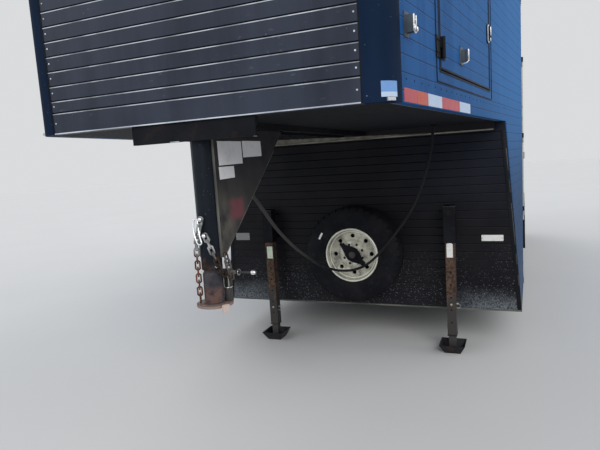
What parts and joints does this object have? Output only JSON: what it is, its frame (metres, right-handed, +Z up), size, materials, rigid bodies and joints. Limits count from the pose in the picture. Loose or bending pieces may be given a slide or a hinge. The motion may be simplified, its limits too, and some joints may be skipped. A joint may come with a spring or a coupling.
{
  "type": "gooseneck trailer",
  "caption": "Enclosed gooseneck cargo trailer with a raised tapered nose, ball coupler neck, parking legs, riser-mounted spare wheel, tandem axles and hinged doors.",
  "frame": {"origin": "on the ground under the middle of the trailer's bounding box", "axes": "+X forward towards the nose, +Y to the trailer's left, +Z up"},
  "size_m": [8.527, 2.69, 2.86],
  "materials": {
    "black_gloss_paint": "gloss",
    "black_matt_paint": "satin",
    "black_frame_paint": "satin",
    "white_roof": "satin",
    "tyre": "matte",
    "wheel_silver": "satin",
    "rusty_steel": "rusty",
    "floor_board": "satin",
    "bright_steel": "satin",
    "amber_lens": "gloss",
    "red_lens": "gloss",
    "cable_rubber": "satin"
  },
  "bodies": {
    "trailer": {"axles": "black_frame_paint", "cable": "cable_rubber", "cable_clamps": "black_frame_paint", "chassis_rails": "black_frame_paint", "coupler": "rusty_steel", "coupler_latch": "rusty_steel", "crossmembers": "black_frame_paint", "door_holdback": "bright_steel", "floor_deck": "floor_board", "hinge_knuckles": "bright_steel", "inner_legs": "rusty_steel", "leaf_springs": "black_frame_paint", "leg_feet": "rusty_steel", "leg_sleeves": "black_frame_paint", "lower_sides": "black_gloss_paint", "marker_lamps": "amber_lens", "neck_gussets": "black_frame_paint", "neck_inner": "rusty_steel", "neck_tube": "black_frame_paint", "nose_beams": "black_frame_paint", "nose_corner_posts": "black_gloss_paint", "nose_floor": "floor_board", "nose_front_wall": "black_gloss_paint", "nose_side_left": "black_gloss_paint", "nose_side_right": "black_gloss_paint", "outer_legs": "rusty_steel", "rear_frame": "black_gloss_paint", "riser_header": "black_frame_paint", "riser_wall": "black_matt_paint", "roof": "white_roof", "safety_chains": "rusty_steel", "side_wall_left": "black_gloss_paint", "side_wall_right": "black_gloss_paint", "spare_carrier": "black_frame_paint", "spare_rim": "wheel_silver", "spare_tyre": "tyre", "spring_hangers": "black_frame_paint", "tail_lamps": "red_lens", "wheel_flares": "black_gloss_paint", "wheel_wells": "black_frame_paint"},
    "wheel_front_left": {"tyre_front_left": "tyre", "rim_front_left": "wheel_silver"},
    "wheel_front_right": {"tyre_front_right": "tyre", "rim_front_right": "wheel_silver"},
    "wheel_rear_left": {"tyre_rear_left": "tyre", "rim_rear_left": "wheel_silver"},
    "wheel_rear_right": {"tyre_rear_right": "tyre", "rim_rear_right": "wheel_silver"},
    "nose_door_leaf": {"nose_door": "black_gloss_paint", "nose_door_fittings": "bright_steel"},
    "side_door_leaf": {"side_door": "black_gloss_paint", "side_door_fittings": "bright_steel"},
    "rear_leaf_left": {"rear_door_left": "black_gloss_paint", "rear_door_fittings_left": "bright_steel"},
    "rear_leaf_right": {"rear_door_right": "black_gloss_paint", "rear_door_fittings_right": "bright_steel"}
  },
  "joints": [
    {"name": "wheel_front_left_spin", "type": "hinge", "parent": "trailer", "child": "wheel_front_left", "pos_m": [-1.4095, 1.15, 0.391], "axis": [0, 1, 0], "continuous": true},
    {"name": "wheel_front_right_spin", "type": "hinge", "parent": "trailer", "child": "wheel_front_right", "pos_m": [-1.4095, -1.15, 0.391], "axis": [0, 1, 0], "continuous": true},
    {"name": "wheel_rear_left_spin", "type": "hinge", "parent": "trailer", "child": "wheel_rear_left", "pos_m": [-2.2995, 1.15, 0.391], "axis": [0, 1, 0], "continuous": true},
    {"name": "wheel_rear_right_spin", "type": "hinge", "parent": "trailer", "child": "wheel_rear_right", "pos_m": [-2.2995, -1.15, 0.391], "axis": [0, 1, 0], "continuous": true},
    {"name": "nose_door_hinge", "type": "hinge", "parent": "trailer", "child": "nose_door_leaf", "pos_m": [3.63049, 0.94058, 2.2975], "axis": [0, 0, -1], "range_deg": [0, 165]},
    {"name": "side_door_hinge", "type": "hinge", "parent": "trailer", "child": "side_door_leaf", "pos_m": [0.2375, 1.313, 1.63], "axis": [0, 0, -1], "range_deg": [0, 150]},
    {"name": "rear_door_left_hinge", "type": "hinge", "parent": "trailer", "child": "rear_leaf_left", "pos_m": [-4.2305, 1.311, 1.7], "axis": [0, 0, -1], "range_deg": [0, 265]},
    {"name": "rear_door_right_hinge", "type": "hinge", "parent": "trailer", "child": "rear_leaf_right", "pos_m": [-4.2305, -1.311, 1.7], "axis": [0, 0, 1], "range_deg": [0, 265]}
  ]
}
